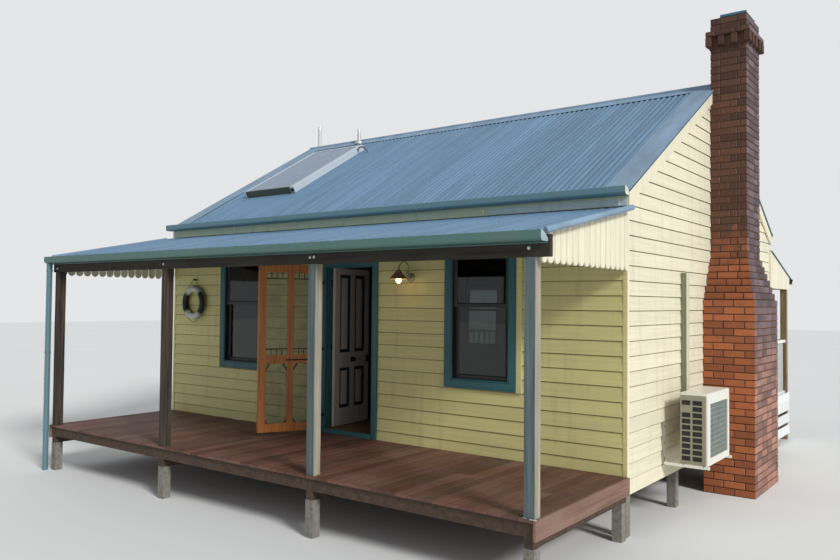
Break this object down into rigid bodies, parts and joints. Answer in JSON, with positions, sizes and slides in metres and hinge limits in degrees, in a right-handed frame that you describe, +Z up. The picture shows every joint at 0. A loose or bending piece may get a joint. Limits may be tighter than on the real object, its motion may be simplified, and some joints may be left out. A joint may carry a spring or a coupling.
{
  "type": "weatherboard cottage",
  "caption": "Timber cottage on stumps with a gable roof of corrugated iron, an outside brick chimney, an open front verandah, and a hinged front door behind a hinged screen door.",
  "frame": {"origin": "on the ground under the middle of the house, at the foot of its centre stump", "axes": "+X to the right seen from the front, along the ridge; +Y from the front verandah to the back; +Z up"},
  "size_m": [8.0099, 9.466, 5.97],
  "materials": {
    "stump_concrete": "rough grey",
    "framing_timber": "rough sawn",
    "floor_timber": "oiled boards",
    "wall_lining": "painted lining boards",
    "front_paint": "painted, satin, pale yellow",
    "gable_paint": "painted, satin, cream",
    "trim_paint": "painted, satin, cream",
    "teal_paint": "painted, satin, dark teal",
    "gutter_paint": "satin, teal",
    "galvanised_iron": "weathered galvanised",
    "brick": "rough clay brick",
    "panel_paint": "satin grey",
    "pipe_metal": "weathered",
    "sash_paint": "painted, dark",
    "glass": "clear",
    "front_door_paint": "painted, satin, pale grey",
    "cedar": "oiled cedar",
    "mesh": "fine woven mesh",
    "deck_timber": "stained, red brown",
    "post_timber": "weathered grey",
    "beam_timber": "weathered dark",
    "white_paint": "painted, satin, white",
    "casing_paint": "satin off-white",
    "duct_plastic": "matte cream",
    "lamp_enamel": "gloss enamel, pale",
    "ring_plastic": "matte white",
    "rope": "laid rope"
  },
  "bodies": {
    "house": {"stumps": "stump_concrete", "bearers": "framing_timber", "joists": "framing_timber", "house_floor": "floor_timber", "front_wall_left": "wall_lining", "front_wall_right": "wall_lining", "front_wall_over_door": "wall_lining", "right_wall": "wall_lining", "left_wall": "wall_lining", "rear_wall": "wall_lining", "front_weatherboards": "front_paint", "rear_weatherboards": "front_paint", "right_weatherboards": "gable_paint", "left_weatherboards": "gable_paint", "corner_boards": "trim_paint", "rafters": "framing_timber", "roof_battens": "framing_timber", "front_roof_sheets": "galvanised_iron", "rear_roof_sheets": "galvanised_iron", "ridge_cap": "galvanised_iron", "verge_flashings": "galvanised_iron", "barge_boards": "trim_paint", "eave_fascias": "gutter_paint", "main_gutters": "gutter_paint", "chimney": "brick", "chimney_cap": "panel_paint", "roof_panel": "panel_paint", "vent_pipes": "pipe_metal", "window_frames": "teal_paint", "window_sashes": "sash_paint", "window_glass": "glass", "front_door_frame": "teal_paint", "rear_door_frame": "teal_paint", "rear_door": "front_door_paint", "deck_boards": "deck_timber", "deck_rims": "deck_timber", "verandah_posts": "post_timber", "verandah_beams": "beam_timber", "verandah_roof_sheets": "galvanised_iron", "verandah_infill": "trim_paint", "verandah_gutter": "gutter_paint", "downpipe": "gutter_paint", "rear_posts": "post_timber", "rear_balustrade": "white_paint", "rear_skirt": "white_paint", "rear_verandah_sheets": "galvanised_iron", "rear_infill": "trim_paint", "rear_gutter": "gutter_paint", "heat_pump": "casing_paint", "heat_pump_bracket": "casing_paint", "pipe_duct": "duct_plastic", "wall_lamp": "lamp_enamel", "life_ring": "ring_plastic", "grab_rope": "rope"},
    "front_door": {"front_door": "front_door_paint"},
    "screen_door": {"screen_door": "cedar", "fly_mesh": "mesh"}
  },
  "joints": [
    {"name": "front_door_hinge", "type": "hinge", "parent": "house", "child": "front_door", "pos_m": [-0.4025, -2.844, 0.663], "axis": [0, 0, 1], "range_deg": [-96, 14]},
    {"name": "screen_door_hinge", "type": "hinge", "parent": "house", "child": "screen_door", "pos_m": [-0.428, -3.019, 0.655], "axis": [0, 0, 1], "range_deg": [-47, 118]}
  ]
}
